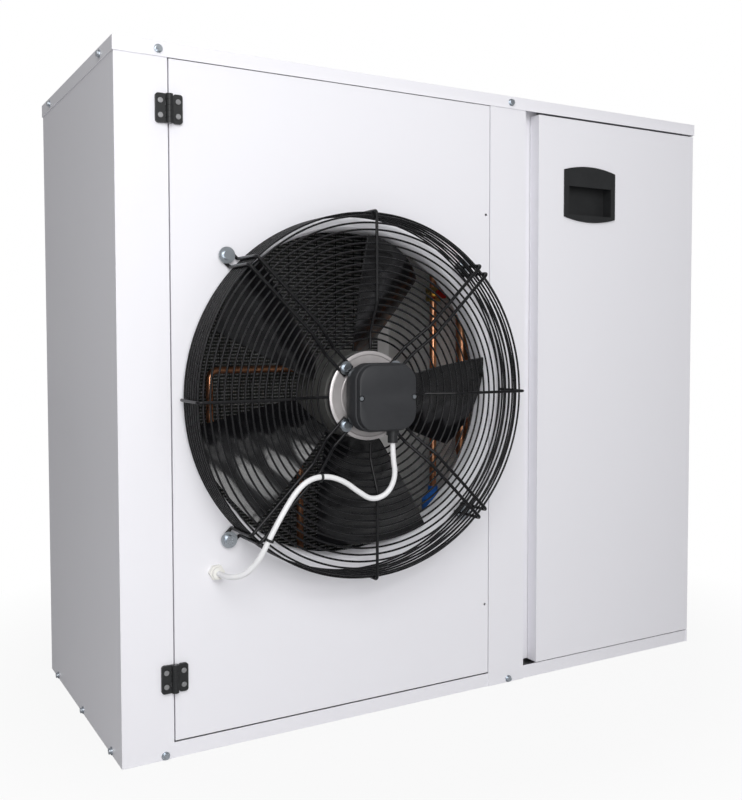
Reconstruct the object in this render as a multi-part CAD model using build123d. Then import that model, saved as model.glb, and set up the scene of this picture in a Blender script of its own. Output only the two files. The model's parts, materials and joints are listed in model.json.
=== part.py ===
from build123d import *

import math
import os

os.makedirs("parts", exist_ok=True)

# Refrigeration condensing unit. Millimetres, +Z up, front faces -Y.
# The origin is on the floor, under the middle of the cabinet.

# Cabinet
width = 1100.0
depth = 480.0
height = 1000.0
sheet = 1.5
cover_band = 20.0
base_height = 24.0
base_sheet = 2.0
lip = 50.0  # rear lips of the side panels
corner_post = 75.0  # front face of the left corner post, from the cabinet's left edge
centre_post_left = 621.5  # from the cabinet's left edge
centre_post_width = 74.0
door_gap = 2.0
door_depth = 24.0
door_seat = 2.0  # free gap between a closed door and its landing
landing = 15.0  # width of the strip a door closes against
service_door_left = 724.0  # from the cabinet's left edge
anchor_x = 960.0
anchor_y = 300.0
anchor_r = 6.0

# Fan
fan_from_left = 361.5
fan_z = 508.5
nozzle_r = 250.0
nozzle_wall = 3.0
nozzle_length = 60.0
nozzle_clear = 130.0  # half height of the gap that the post leaves for the swinging nozzle
blade_tip_gap = 4.0
blade_count = 5
blade_front = -10.0  # depth of the blade's leading edge behind the door face
blade_back = 80.0
blade_lead_angle = 84.0  # leading edge of the first blade at the tip, counter-clockwise from +X
blade_sweep = 35.0  # degrees from leading to trailing edge
blade_sheet = 2.5
rotor_r = 66.0
rotor_wall = 5.0
rotor_front = -36.0
rotor_back = 72.0
shaft_r = 8.0
shaft_front = -40.0
bearing_gap = 0.05
stator_gap = 5.0

# Guard
ring_r = 272.0
ring_wire = 3.0
ring_sides = 32
ring_pitch = 10.0
wall_rings = 5
front_ring_r = 267.0
last_ring_r = 97.0
guard_front = -60.0  # centre of the front rings
wall_start = -12.0
dip_r = 148.0  # inside this radius the guard slopes back to the motor
arm_wire = 5.0
spoke_wire = 4.5
weld = 0.6  # how far the welded wires sink into each other
arm_spacing = 17.0
arm_inner_r = 52.0
arm_seat_r = 95.0
foot_reach = 17.0  # from the guard's rings out to the foot screws
foot_r = ring_r + foot_reach
foot_bend = 4.0
arm_bend = 7.0

# Motor
flange_r = 67.0
flange_front = -54.0
flange_t = 6.0
motor_bolt_pcd = 119.0
box_size = 100.0
box_corner = 22.0
box_back = -68.0
box_split = -80.0
box_front = -112.0
cable_r = 4.0

# Hinges
hinge_width = 38.0
hinge_height = 40.0
leaf_t = 4.5
knuckle_r = 5.0
hinge_pin_r = 2.0
hinge_running = 0.05
knuckle_gap = 0.3
hinge_z = (115.5, 910.0)

# Coil and refrigeration circuit
coil_depth = 44.0
coil_y = depth / 2 - 75.0  # front face of the fins
coil_left = -width / 2 + 30.0
coil_right = 85.0
coil_bottom = 30.0
coil_top = height - 50.0
fin_pitch = 20.0
tube_pitch = 75.0
tube_r = 5.0
partition_x = -width / 2 + 655.0
liquid_r = 6.35
suction_r = 11.0
hole_gap = 2.0  # grommet wall round a pipe

# Derived places
front = -depth / 2 + sheet
back = depth / 2 - sheet
left = -width / 2 + sheet
right = width / 2 - sheet
top = height - sheet
door_top = height - cover_band - 1.0
door_bottom = base_height + 1.0
post_inner = -width / 2 + corner_post
centre_left = -width / 2 + centre_post_left
centre_right = centre_left + centre_post_width
landing_y = front + door_depth + door_seat
fan_x = -width / 2 + fan_from_left
fan_door_left = post_inner + door_gap
fan_door_right = centre_left - door_gap
service_left = -width / 2 + service_door_left
service_bottom = door_bottom - 1.0
service_top = door_top - 2.0
pin_y = front - knuckle_r - knuckle_gap
fan_hinge_x = post_inner + door_gap / 2
dip_depth = flange_front - weld + ring_wire / 2 - guard_front


def block(x0, x1, y0, y1, z0, z1):
    middle = Pos((x0 + x1) / 2, (y0 + y1) / 2, (z0 + z1) / 2)
    return middle * Box(x1 - x0, y1 - y0, z1 - z0)


def rod_z(x, y, r, z0, z1):
    return Pos(x, y, (z0 + z1) / 2) * Cylinder(r, z1 - z0)


def rod_y(x, z, r, y0, y1):
    return Pos(x, (y0 + y1) / 2, z) * Rot(90, 0, 0) * Cylinder(r, abs(y1 - y0))


def rod_x(y, z, r, x0, x1):
    return Pos((x0 + x1) / 2, y, z) * Rot(0, 90, 0) * Cylinder(r, abs(x1 - x0))


def save(name, *solids):
    shape = solids[0] if len(solids) == 1 else Compound(children=list(solids))
    export_step(shape, f"parts/{name}.step")


def folded_sheet(line, z0, z1, thickness=sheet):
    """A vertical sheet folded along a plan line of square bends, its thickness on the line's left."""
    normals = []
    for (x0, y0), (x1, y1) in zip(line, line[1:]):
        length = math.hypot(x1 - x0, y1 - y0)
        normals.append(((y0 - y1) / length, (x1 - x0) / length))
    inner = []
    for i, (x, y) in enumerate(line):
        sides = normals[max(i - 1, 0) : i + 1] if 0 < i < len(normals) else [normals[min(i, len(normals) - 1)]]
        dx = sum(n[0] for n in sides)
        dy = sum(n[1] for n in sides)
        inner.append((x + thickness * dx, y + thickness * dy))
    outline = make_face(Polyline(*line, *reversed(inner), close=True))
    return Pos(0, 0, z0) * extrude(outline, z1 - z0)


def bent_rod(points, r, bend):
    """A round rod along straight runs joined by arcs; bend is one radius or a list of them."""
    path = FilletPolyline(*points, radius=bend)
    return sweep(Plane(path @ 0, z_dir=path % 0) * Circle(r), path=path)


# ---------------------------------------------------------------- cabinet screws
screw_r = 2.0
screw_head_r = 6.0
screw_head_t = 4.5
screw_length = 2 * sheet
drill_r = screw_r + 0.1

band_z = height - cover_band / 2
foot_z = 6.0
front_screws = [
    (x - width / 2, -depth / 2, z, "front") for x, z in ((62.5, band_z), (663.5, band_z))
] + [(x - width / 2, front, foot_z, "front") for x in (62.5, 663.5)]
side_rows = [(-depth / 2 + y, band_z, 0.0) for y in (68.0, 412.0)]
side_rows += [(-depth / 2 + y, foot_z, sheet) for y in (58.0, 235.0, 420.0)]
left_screws = [(-width / 2 + inset, y, z, "left") for y, z, inset in side_rows]
right_screws = [(width / 2 - inset, y, z, "right") for y, z, inset in side_rows]
rear_screw_x = (-width / 2 + 27, partition_x + 35, width / 2 - 80, width / 2 - 27)
rear_screws = [(x, depth / 2, band_z, "back") for x in rear_screw_x]
rear_screws += [(x, back, foot_z, "back") for x in (partition_x + 35, width / 2 - 70)]
cabinet_screws = front_screws + left_screws + right_screws + rear_screws
facing = {"front": Rot(90, 0, 0), "back": Rot(-90, 0, 0), "left": Rot(0, -90, 0), "right": Rot(0, 90, 0)}


def screw(x, y, z, side, head_r=screw_head_r, head_t=screw_head_t, length=screw_length, r=screw_r):
    """A pan head screw with a washer face; the head's seat is at x, y, z."""
    washer = Pos(0, 0, 0.5) * Cylinder(head_r, 1)
    head = Pos(0, 0, head_t / 2) * Cylinder(head_r * 0.72, head_t)
    shank = Pos(0, 0, -length / 2) * Cylinder(r, length)
    return Pos(x, y, z) * facing[side] * (washer + head + shank)


def drilled(sheet_solid, screws, r=drill_r, reach=8.0):
    for x, y, z, side in screws:
        sheet_solid -= Pos(x, y, z) * facing[side] * Cylinder(r, 2 * reach)
    return sheet_solid


# ---------------------------------------------------------------- cabinet sheet metal
def base_pan():
    wall = sheet
    outer = block(left + wall, right - wall, front + wall, back - wall, 0, base_height - 2)
    hollow = block(
        left + 2 * wall, right - 2 * wall, front + 2 * wall, back - 2 * wall, base_sheet, base_height
    )
    pan = outer - hollow
    for sx in (-1, 1):
        for sy in (-1, 1):
            pan -= rod_z(sx * anchor_x / 2, sy * anchor_y / 2, anchor_r, -1, base_sheet + 1)
    return drilled(pan, cabinet_screws)


def left_panel():
    inner = post_inner + landing
    folded = [(left + lip, back), (left, back), (left, front), (post_inner, front)]
    panel = folded_sheet(folded, 0, base_height)
    folded += [(post_inner, landing_y), (inner, landing_y)]
    panel += folded_sheet(folded, base_height, top)
    panel = hinge_drilled(panel, fan_hinges, -1)
    return drilled(panel, front_screws + left_screws + rear_screws)


def right_panel():
    skirt = folded_sheet([(right, front), (right, back), (right - lip, back)], 0, service_bottom - 1.5)
    header = folded_sheet([(right, front), (right, back), (right - lip, back)], door_top, top)
    inner = right - landing - 25
    side = [(inner, landing_y), (right, landing_y), (right, back), (right - lip, back)]
    panel = skirt + folded_sheet(side, service_bottom - 1.5, door_top) + header
    panel = hinge_drilled(panel, service_hinges, -1)
    return drilled(panel, right_screws + rear_screws)


def centre_post():
    face = folded_sheet([(centre_left, front), (centre_right, front)], 0, base_height)
    folded = [
        (centre_left - landing, landing_y),
        (centre_left, landing_y),
        (centre_left, front),
        (centre_right, front),
        (centre_right, landing_y),
        (service_left + landing, landing_y),
    ]
    post = face + folded_sheet(folded, base_height, top)
    gap = (centre_left - landing - 1, centre_left, landing_y - 1, landing_y + sheet + 1)
    post -= block(*gap, fan_z - nozzle_clear, fan_z + nozzle_clear)
    for z in lock_heights:
        post -= rod_y(lock_x, z, lock_r, landing_y - 1, landing_y + sheet + 1)
    return drilled(post, front_screws)


def top_cover():
    outer = block(-width / 2, width / 2, -depth / 2, depth / 2, height - cover_band, height)
    inner = block(left, right, front, back, height - cover_band - 1, top)
    return drilled(outer - inner, cabinet_screws)


def top_rail():
    """Stiffening angle behind the doors' top landing, from side to side."""
    y = landing_y + sheet
    upright = block(left + sheet, right - sheet, y, y + sheet, door_top - 40, top)
    shelf = block(left + sheet, right - sheet, y, y + 25, top - sheet, top)
    return upright + shelf


def rear_panel():
    panel = block(coil_right + 10, right - lip, back - sheet, back, 0, top)
    for x, z, r in rear_ports:
        panel -= rod_y(x, z, r, back - 5, back + 5)
    return drilled(panel, rear_screws)


def partition():
    y0 = landing_y + 2 * sheet
    y1 = coil_y - 3 - sheet
    line = [(partition_x, y0), (partition_x, y1), (coil_right - 5, y1)]
    line.reverse()
    wall = folded_sheet(line, base_sheet, top - sheet)
    for y, z, r in partition_ports:
        wall -= rod_x(y, z, r + hole_gap, partition_x - 10, partition_x + 10)
    return wall


# ---------------------------------------------------------------- hinges
def hinge_leaf(side, holes=True):
    """One leaf lying in the plane y = 0 to -leaf_t; side -1 has three knuckles, side +1 has two."""
    inner = knuckle_r + knuckle_gap
    half = hinge_width / 2
    span = half - inner
    plate = Pos(side * (inner + span / 2), -leaf_t / 2, 0) * Box(span, leaf_t, hinge_height)
    plate = fillet(plate.edges().filter_by(Axis.Y), 4)
    pitch = hinge_height / 5
    knuckle_y = pin_y - front
    chosen = (0, 2, 4) if side < 0 else (1, 3)
    for n in chosen:
        z = -hinge_height / 2 + (n + 0.5) * pitch
        tall = pitch - knuckle_gap
        barrel = Pos(0, knuckle_y, z) * Cylinder(knuckle_r, tall)
        web = Pos(side * (inner + 2) / 2, -leaf_t / 2 - 0.2, z) * Box(inner + 2, leaf_t - 0.4, tall)
        plate += barrel + web
    plate -= Pos(0, knuckle_y, 0) * Cylinder(hinge_pin_r + hinge_running, hinge_height + 2)
    for z in (-hinge_height / 4, hinge_height / 4):
        plate -= Pos(side * hinge_screw_x, -leaf_t / 2, z) * Rot(90, 0, 0) * Cylinder(2.2, leaf_t + 2)
    return plate


hinge_screw_x = 12.5


def hinge_screws(side):
    heads = []
    for z in (-hinge_height / 4, hinge_height / 4):
        heads.append(screw(side * hinge_screw_x, -leaf_t, z, "front", 3.6, 1.6, leaf_t + sheet))
    return heads


def hinge_pin():
    return Pos(0, pin_y - front, 0) * Cylinder(hinge_pin_r, hinge_height)


def hinge_drilled(panel, places, side):
    """Screw holes for the hinge leaves in the sheet that they lie on."""
    for place in places:
        for z in (-hinge_height / 4, hinge_height / 4):
            panel -= place * Pos(side * hinge_screw_x, 0, z) * Rot(90, 0, 0) * Cylinder(drill_r, 8)
    return panel


# The frame side of each hinge is local -x: three knuckles there and two on the door.
fan_hinges = [Pos(fan_hinge_x, front, z) for z in hinge_z]
service_hinges = [Pos(right, landing_y - 1, z) * Rot(0, 0, 90) * Rot(0, 180, 0) for z in hinge_z]


# ---------------------------------------------------------------- doors
lock_x = -width / 2 + 613.0
lock_heights = (143.0, 799.0)
lock_r = 2.2


def tray(x0, x1, z0, z1):
    outer = block(x0, x1, front, front + door_depth, z0, z1)
    return outer - block(x0 + sheet, x1 - sheet, front + sheet, front + door_depth + 1, z0 + sheet, z1 - sheet)


def fan_point(x, y, z):
    return (fan_x + x, front + y, fan_z + z)


def foot_places():
    side = foot_r / math.sqrt(2)
    return [(sx * side, sz * side) for sx in (-1, 1) for sz in (-1, 1)]


def fan_door_panel():
    panel = tray(fan_door_left, fan_door_right, door_bottom, door_top)
    panel -= rod_y(fan_x, fan_z, nozzle_r + nozzle_wall, front - 1, front + door_depth + 1)
    for x, z in foot_places():
        panel -= rod_y(fan_x + x, fan_z + z, foot_screw_r + 0.2, front - 1, front + 5)
    for z in lock_heights:
        panel -= rod_y(lock_x, z, lock_r, front - 1, front + 5)
    panel -= rod_y(fan_x + door_gland_x, fan_z + door_gland_z, gland_thread_r, front - 1, front + 5)
    return hinge_drilled(panel, fan_hinges, 1)


def fan_nozzle():
    outer = rod_y(fan_x, fan_z, nozzle_r + nozzle_wall, front, front + nozzle_length)
    return outer - rod_y(fan_x, fan_z, nozzle_r, front - 1, front + nozzle_length + 1)


def service_door_panel():
    panel = tray(service_left, right, service_bottom, service_top)
    tub = block(grip_left + grip_rim, grip_right - grip_rim, front - 1, front + 5, grip_low, grip_high)
    return hinge_drilled(panel - tub, service_hinges, 1)


# ---------------------------------------------------------------- recessed grip
grip_left = -width / 2 + 780.0
grip_right = -width / 2 + 898.0
grip_high = height - 111.0
grip_low = grip_high - 82.0
grip_arch = 8.0
grip_rim = 8.0
grip_rim_t = 2.5
grip_wall = 2.0
grip_pocket = 20.0


def arched_plate(inset, y0, y1):
    """A plate with straight sides and bowed top and bottom edges, between two depths."""
    x0 = grip_left + inset
    x1 = grip_right - inset
    z0 = grip_low + inset
    z1 = grip_high - inset
    xm = (x0 + x1) / 2
    outline = Line((x0, z0), (x0, z1)) + ThreePointArc((x0, z1), (xm, z1 + grip_arch), (x1, z1))
    outline += Line((x1, z1), (x1, z0)) + ThreePointArc((x1, z0), (xm, z0 - grip_arch), (x0, z0))
    return Pos(0, y1, 0) * extrude(Plane.XZ * make_face(outline), y1 - y0)


def door_grip():
    rim = arched_plate(0, front - grip_rim_t, front)
    gap = 0.2
    tub = block(
        grip_left + grip_rim + gap,
        grip_right - grip_rim - gap,
        front,
        front + grip_pocket,
        grip_low + gap,
        grip_high - gap,
    )
    x0 = grip_left + grip_rim + gap + grip_wall
    x1 = grip_right - grip_rim - gap - grip_wall
    z0 = grip_low + gap + grip_wall
    z1 = grip_high - gap - grip_wall
    pocket_back = front + grip_pocket - grip_wall
    pocket = block(x0, x1, front, pocket_back, z0, z1)
    mouth = block(x0, x1, front - grip_rim_t - 1, front + 0.5, z0 + 2, z1 - grip_lip)
    return rim + tub - pocket - mouth


grip_lip = 26.0  # the hood that hangs over the top of the pocket


# ---------------------------------------------------------------- fan guard
def hoop(radius, y):
    half = ring_wire / 2
    face = RegularPolygon(radius + half, ring_sides) - RegularPolygon(radius - half, ring_sides)
    return Pos(*fan_point(0, y + half, 0)) * extrude(Plane.XZ * face, ring_wire)


def dipped(radius):
    """How far the guard lies behind its front plane at this radius."""
    inside = min(max((dip_r - radius) / (dip_r - arm_seat_r), 0), 1)
    return dip_depth * inside


def wire_point(angle, u, v, y):
    a = math.radians(angle)
    return fan_point(u * math.cos(a) - v * math.sin(a), y, u * math.sin(a) + v * math.cos(a))


def guard_arm(angle):
    """One wire bent double: motor flange, out over the front, down the wall and round its foot screw."""
    half = arm_spacing / 2
    over = guard_front - ring_wire / 2 - arm_wire / 2 + weld
    seat = over + dip_depth
    wall_u = ring_r + ring_wire / 2 + arm_wire / 2 - weld
    foot = -arm_wire / 2
    leg = [(arm_inner_r, seat), (arm_seat_r, seat), (dip_r, over), (wall_u, over), (wall_u, foot)]
    out = [wire_point(angle, u, half, y) for u, y in leg]
    home = [wire_point(angle, u, -half, y) for u, y in leg]
    turn = foot_r + half
    tip = [wire_point(angle, turn, half, foot), wire_point(angle, turn, -half, foot)]
    bends = [arm_bend] * 3 + [foot_bend] + [arm_bend] * 2 + [foot_bend] + [arm_bend] * 3
    return bent_rod(out + tip + home[::-1], arm_wire / 2, bends)


def guard_spoke(angle):
    over = guard_front - ring_wire / 2 - spoke_wire / 2 + weld
    seat = over + dip_depth
    wall_u = ring_r + ring_wire / 2 + spoke_wire / 2 - weld
    leg = [(last_ring_r - 6, seat), (dip_r, over), (wall_u, over), (wall_u, wall_start + 3)]
    return bent_rod([wire_point(angle, u, 0, y) for u, y in leg], spoke_wire / 2, 6.0)


def fan_guard():
    rings = []
    for n in range(wall_rings):
        rings.append(hoop(ring_r, wall_start - n * ring_pitch))
    count = int((front_ring_r - last_ring_r) / ring_pitch + 0.5) + 1
    for n in range(count):
        radius = front_ring_r - n * ring_pitch
        rings.append(hoop(radius, guard_front + dipped(radius)))
    wires = [guard_arm(a) for a in (45, 135, 225, 315)] + [guard_spoke(a) for a in (0, 90, 180, 270)]
    return wires[0].fuse(*wires[1:], *rings)


foot_screw_r = 3.0
washer_t = 1.5


def foot_screws():
    seat = front - arm_wire - washer_t
    solids = []
    for x, z in foot_places():
        head = rod_y(fan_x + x, fan_z + z, 6.5, seat - 5, seat)
        shank = rod_y(fan_x + x, fan_z + z, foot_screw_r, seat, front + sheet)
        solids.append(head + shank)
    return solids


def foot_washers():
    seat = front - arm_wire
    solids = []
    for x, z in foot_places():
        ring = rod_y(fan_x + x, fan_z + z, 12.0, seat - washer_t, seat)
        solids.append(ring - rod_y(fan_x + x, fan_z + z, foot_screw_r + 0.1, seat - 5, seat + 5))
    return solids


# ---------------------------------------------------------------- motor and impeller
def turned(profile):
    """A solid of revolution about the fan's axis from (radius, depth) points."""
    points = [(r, y) for r, y in profile]
    face = make_face(Polyline(*points, close=True))
    return Pos(*fan_point(0, 0, 0)) * revolve(face, Axis.Y)


core_back = 46.0


def motor_stator():
    bore = shaft_r + bearing_gap
    core_r = rotor_r - rotor_wall - stator_gap
    flange_back = flange_front + flange_t
    profile = [
        (bore, flange_front),
        (flange_r, flange_front),
        (flange_r, flange_back),
        (flange_r - 6, flange_back),
        (flange_r - 6, flange_back + 5),
        (42, flange_back + 5),
        (42, rotor_front),
        (core_r, rotor_front + 4),
        (core_r, core_back),
        (bore, core_back),
    ]
    stator = turned(profile)
    for x, z in motor_bolt_places():
        stator -= rod_y(fan_x + x, fan_z + z, 2.6, front + flange_front - 1, front + flange_front + 30)
    return stator


def motor_bolt_places():
    side = motor_bolt_pcd / 2 / math.sqrt(2)
    return [(sx * side, sz * side) for sx in (-1, 1) for sz in (-1, 1)]


def motor_bolts():
    """Flanged bolts that clamp the guard's arm wires to the motor."""
    seat = front + flange_front - arm_wire
    solids = []
    for x, z in motor_bolt_places():
        flange = rod_y(fan_x + x, fan_z + z, 10.0, seat - 1.5, seat)
        head = rod_y(fan_x + x, fan_z + z, 6.0, seat - 5.5, seat - 1.5)
        shank = rod_y(fan_x + x, fan_z + z, 2.5, seat, front + flange_front + flange_t)
        solids.append(flange + head + shank)
    return solids


def fan_rotor():
    """The cup that carries the blades, in one piece with its shaft."""
    inner = rotor_r - rotor_wall
    profile = [
        (0, shaft_front),
        (shaft_r, shaft_front),
        (shaft_r, rotor_back - 6),
        (inner, rotor_back - 6),
        (inner, rotor_front),
        (rotor_r, rotor_front),
        (rotor_r, rotor_back - 12),
        (rotor_r - 12, rotor_back),
        (0, rotor_back),
    ]
    return turned(profile)


def blade_section(radius, camber, half_angle, y_front, y_back):
    """A thin cambered strip in the plane at this radius, from leading to trailing edge."""
    w = radius * math.tan(math.radians(half_angle))
    mid = (y_front + y_back) / 2
    lean = math.hypot(2 * w, y_back - y_front)
    nx = (y_back - y_front) / lean
    ny = 2 * w / lean
    t = blade_sheet / 2

    def edge(offset):
        shift = (nx * offset, ny * offset)
        a = (shift[0] - w, y_front - shift[1])
        b = (nx * (camber + offset), mid - ny * (camber + offset))
        c = (shift[0] + w, y_back - shift[1])
        return a, b, c

    a0, b0, c0 = edge(-t)
    a1, b1, c1 = edge(t)
    outline = ThreePointArc(a0, b0, c0) + Line(c0, c1) + ThreePointArc(c1, b1, a1) + Line(a1, a0)
    return make_face(outline)


def blade():
    """One broad sickle blade standing up from the hub, trimmed to the hub and to the tip circle."""
    half = blade_sweep / 2
    sections = [
        (rotor_r - 8, 4.0, half + 4, blade_front + 14, blade_back - 8),
        (rotor_r + 90, 9.0, half + 2, blade_front + 6, blade_back - 2),
        (nozzle_r + 14, 12.0, half, blade_front, blade_back),
    ]
    faces = []
    for radius, camber, angle, y0, y1 in sections:
        plane = Plane(origin=(0, 0, radius), x_dir=(1, 0, 0), z_dir=(0, 0, 1))
        faces.append(plane * blade_section(radius, camber, angle, y0, y1))
    solid = loft(faces)
    reach = blade_back + 60
    tip = Rot(90, 0, 0) * Cylinder(nozzle_r - blade_tip_gap, 2 * reach)
    hub = Rot(90, 0, 0) * Cylinder(rotor_r, 2 * reach)
    return (solid & tip) - hub


def fan_blades():
    first = blade()
    middle = blade_lead_angle - blade_sweep / 2
    solids = []
    for n in range(blade_count):
        turn = 90 - middle + n * 360 / blade_count
        solids.append(Pos(*fan_point(0, 0, 0)) * Rot(0, turn, 0) * first)
    return solids


# ---------------------------------------------------------------- terminal box and its cable
gland_x = 18.0
gland_y = -92.0
gland_drop = 18.0
door_gland_x = -223.5
door_gland_z = -249.5
gland_thread_r = 8.0
door_gland_t = 14.0


def rounded_box(size, corner, y0, y1):
    face = RectangleRounded(size, size, corner)
    return Pos(*fan_point(0, y1, 0)) * extrude(Plane.XZ * face, y1 - y0)


def terminal_box_base():
    base = rounded_box(box_size - 4, box_corner - 2, box_split, box_back)
    return base + rod_y(fan_x, fan_z, 32, front + box_back, front + flange_front)


def terminal_box_lid():
    lid = rounded_box(box_size, box_corner, box_front, box_split)
    lid = fillet(lid.faces().sort_by(Axis.Y)[0].edges(), 5)
    for x in (-lid_screw_x, lid_screw_x):
        lid -= rod_y(fan_x + x, fan_z, lid_screw_r + 0.3, front + box_front - 1, front + box_front + 3)
    return lid


lid_screw_x = 44.0
lid_screw_r = 3.0


def lid_screws():
    places = (-lid_screw_x, lid_screw_x)
    return [rod_y(fan_x + x, fan_z, lid_screw_r, front + box_front + 0.5, front + box_front + 3) for x in places]


def box_gland():
    x, y, z = fan_point(gland_x, gland_y, -box_size / 2)
    collar = rod_z(x, y, 9.5, z - 7, z)
    return collar + rod_z(x, y, 7.5, z - gland_drop, z - 7)


def door_gland():
    x = fan_x + door_gland_x
    z = fan_z + door_gland_z
    nut = Pos(x, front, z) * extrude(Plane.XZ * RegularPolygon(11.5, 6), 8)
    dome = rod_y(x, z, 8.5, front - door_gland_t, front - 8)
    return nut + dome + rod_y(x, z, gland_thread_r, front, front + 12)


tie_r = 4.6
tie_reach = 8.1  # from the cable's middle to the arm wire behind it
tie_places = [(-99.0, -74.0, -111.6, 90.0), (-163.3, -74.0, -172.0, -150.0)]
cable_points = [
    (18.0, -92.0, -68.0),
    (18.0, -92.0, -88.0),
    (24.0, -89.0, -118.0),
    (12.0, -85.0, -144.0),
    (-14.0, -81.5, -152.0),
    (-37.0, -78.5, -137.0),
    (-58.0, -76.0, -121.0),
    (-84.0, -74.0, -111.0),
    (-112.0, -74.0, -112.5),
    (-134.0, -74.0, -128.0),
    (-155.0, -74.0, -158.0),
    (-174.0, -74.0, -190.0),
    (-187.0, -68.0, -222.0),
    (-204.0, -57.0, -245.0),
    (-223.5, -39.0, -249.5),
    (-223.5, -14.0, -249.5),
]


def cable_radii(points):
    radii = []
    for a, b, c in zip(points, points[1:], points[2:]):
        one = Vector(b) - Vector(a)
        two = Vector(c) - Vector(b)
        turn = math.radians(one.get_angle(two))
        radii.append(0.45 * min(one.length, two.length) / math.tan(turn / 2))
    return radii


def motor_cable():
    points = [fan_point(*p) for p in cable_points]
    radii = cable_radii(points)
    print("cable radii", [round(r, 1) for r in radii])
    path = FilletPolyline(*points, radius=radii)
    tube = sweep(Plane(path @ 0, z_dir=path % 0) * Circle(cable_r), path=path)
    section = math.pi * cable_r**2
    print("cable length", round(path.length, 1), "volume ratio", tube.volume / (section * path.length))
    return tube


def cable_ties():
    """Bands round the cable and the guard arm behind it, at two places."""
    ties = []
    for x, y, z, turn in tie_places:
        ring = Cylinder(tie_r + 1.2, 3.5) - Cylinder(tie_r, 5)
        head = Pos(0, (tie_r + 0.6 + tie_reach) / 2, 0) * Box(5, tie_reach - tie_r - 0.6, 4.5)
        ties.append(Pos(*fan_point(x, y, z)) * Rot(0, turn, 0) * (ring + head))
    return ties


# ---------------------------------------------------------------- coil
def coil_fins():
    """The fin pack seen from above is a comb on both faces; it runs the coil's full height."""
    count = int((coil_right - coil_left) / fin_pitch)
    pack = block(coil_left, coil_right, coil_y, coil_y + coil_depth, coil_bottom, coil_top)
    groove = 4.0
    slots = []
    for n in range(1, count):
        x = coil_left + n * (coil_right - coil_left) / count
        slots.append(block(x - 3, x + 3, coil_y - 1, coil_y + groove, coil_bottom - 1, coil_top + 1))
    return pack.cut(*slots)


def tube_sheets():
    plates = []
    for x in (coil_left - sheet, coil_right):
        plates.append(block(x, x + sheet, coil_y - 3, coil_y + coil_depth + 3, base_sheet, coil_top + 10))
    return plates


def return_bends(x, side):
    """Half-round bends that join the coil's tubes in pairs outside one tube sheet."""
    bends = []
    rows = int((coil_top - coil_bottom) / tube_pitch)
    y0 = coil_y + coil_depth * 0.25
    y1 = coil_y + coil_depth * 0.75
    for n in range(rows):
        z = coil_bottom + (n + 0.5) * tube_pitch
        tip = x + side * 16
        path = [(x, y0, z), (tip, y0, z), (tip, y1, z), (x, y1, z)]
        bends.append(bent_rod(path, tube_r, 10.0))
    return bends


def rear_guard():
    """Wire mesh over the coil's open back, on a flat frame."""
    wire = 3.0
    y = back - sheet - wire
    x0 = left + 3
    x1 = coil_right + 22
    z0 = base_height
    z1 = top - 5
    frame = block(x0, x1, y, y + wire, z0, z1) - block(x0 + 12, x1 - 12, y - 1, y + wire + 1, z0 + 12, z1 - 12)
    bars = []
    columns = 12
    rows = 18
    for n in range(1, columns):
        x = x0 + n * (x1 - x0) / columns
        bars.append(block(x - wire / 2, x + wire / 2, y, y + wire, z0 + 11, z1 - 11))
    for n in range(1, rows):
        z = z0 + n * (z1 - z0) / rows
        bars.append(block(x0 + 11, x1 - 11, y, y + wire, z - wire / 2, z + wire / 2))
    return frame.fuse(*bars)


# ---------------------------------------------------------------- refrigeration circuit
compressor_x = 340.0
compressor_y = 50.0
compressor_r = 95.0
compressor_foot = 18.0
compressor_top = 430.0
receiver_x = 180.0
receiver_y = 130.0
receiver_r = 55.0
receiver_top = 400.0
drier_x = 82.0
drier_y = -45.0
drier_r = 21.0
drier_low = 205.0
drier_high = 318.0
suction_x = 82.0
suction_y = -140.0
discharge_z = 535.0
liquid_z = 735.0
suction_z = 700.0
bulkhead_y = 130.0
shoulder = 2.0
shoulder_out = 4.0
port_length = 24.0
rear_ports = [
    (450.0, 200.0, liquid_r + shoulder + hole_gap),
    (400.0, 330.0, suction_r + shoulder + hole_gap),
    (300.0, 120.0, 10.0),
]
partition_ports = [
    (bulkhead_y, discharge_z, liquid_r),
    (bulkhead_y, 80.0, liquid_r),
    (drier_y, 110.0, liquid_r),
    (drier_y, liquid_z, liquid_r),
    (suction_y, suction_z, suction_r),
    (suction_y, 380.0, suction_r),
]


def compressor_shell():
    r = compressor_r
    low = base_sheet + compressor_foot
    profile = [(0, low), (r - 12, low), (r - 3, low + 10), (r - 3, low + 55), (r, low + 60)]
    profile += [(r, compressor_top - 90), (r - 4, compressor_top - 85), (r - 4, compressor_top - 45)]
    profile += [(r - 20, compressor_top - 14), (r - 50, compressor_top), (0, compressor_top)]
    face = make_face(Polyline(*profile, close=True))
    return Pos(compressor_x, compressor_y, 0) * revolve(Plane.XZ * face, Axis.Z)


def compressor_base():
    size = 200.0
    low = base_sheet + compressor_foot - 4
    plate = Pos(compressor_x, compressor_y, low + 2) * Box(size, size, 4)
    plate = fillet(plate.edges().filter_by(Axis.Z), 20)
    for x, y in compressor_feet():
        plate -= rod_z(x, y, 6.2, low - 1, low + 5)
    return plate


def compressor_feet():
    step = 82.0
    return [(compressor_x + sx * step, compressor_y + sy * step) for sx in (-1, 1) for sy in (-1, 1)]


def rubber_mounts():
    low = base_sheet + compressor_foot - 4
    mounts = []
    for x, y in compressor_feet():
        mount = rod_z(x, y, 14, base_sheet, low)
        mounts.append(mount - rod_z(x, y, 5.2, base_sheet - 1, low + 1))
    return mounts


def mount_bolts():
    plate_top = base_sheet + compressor_foot
    bolts = []
    for x, y in compressor_feet():
        bolts.append(rod_z(x, y, 5, base_sheet, plate_top + 8) + rod_z(x, y, 10, plate_top, plate_top + 5))
    return bolts


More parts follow.
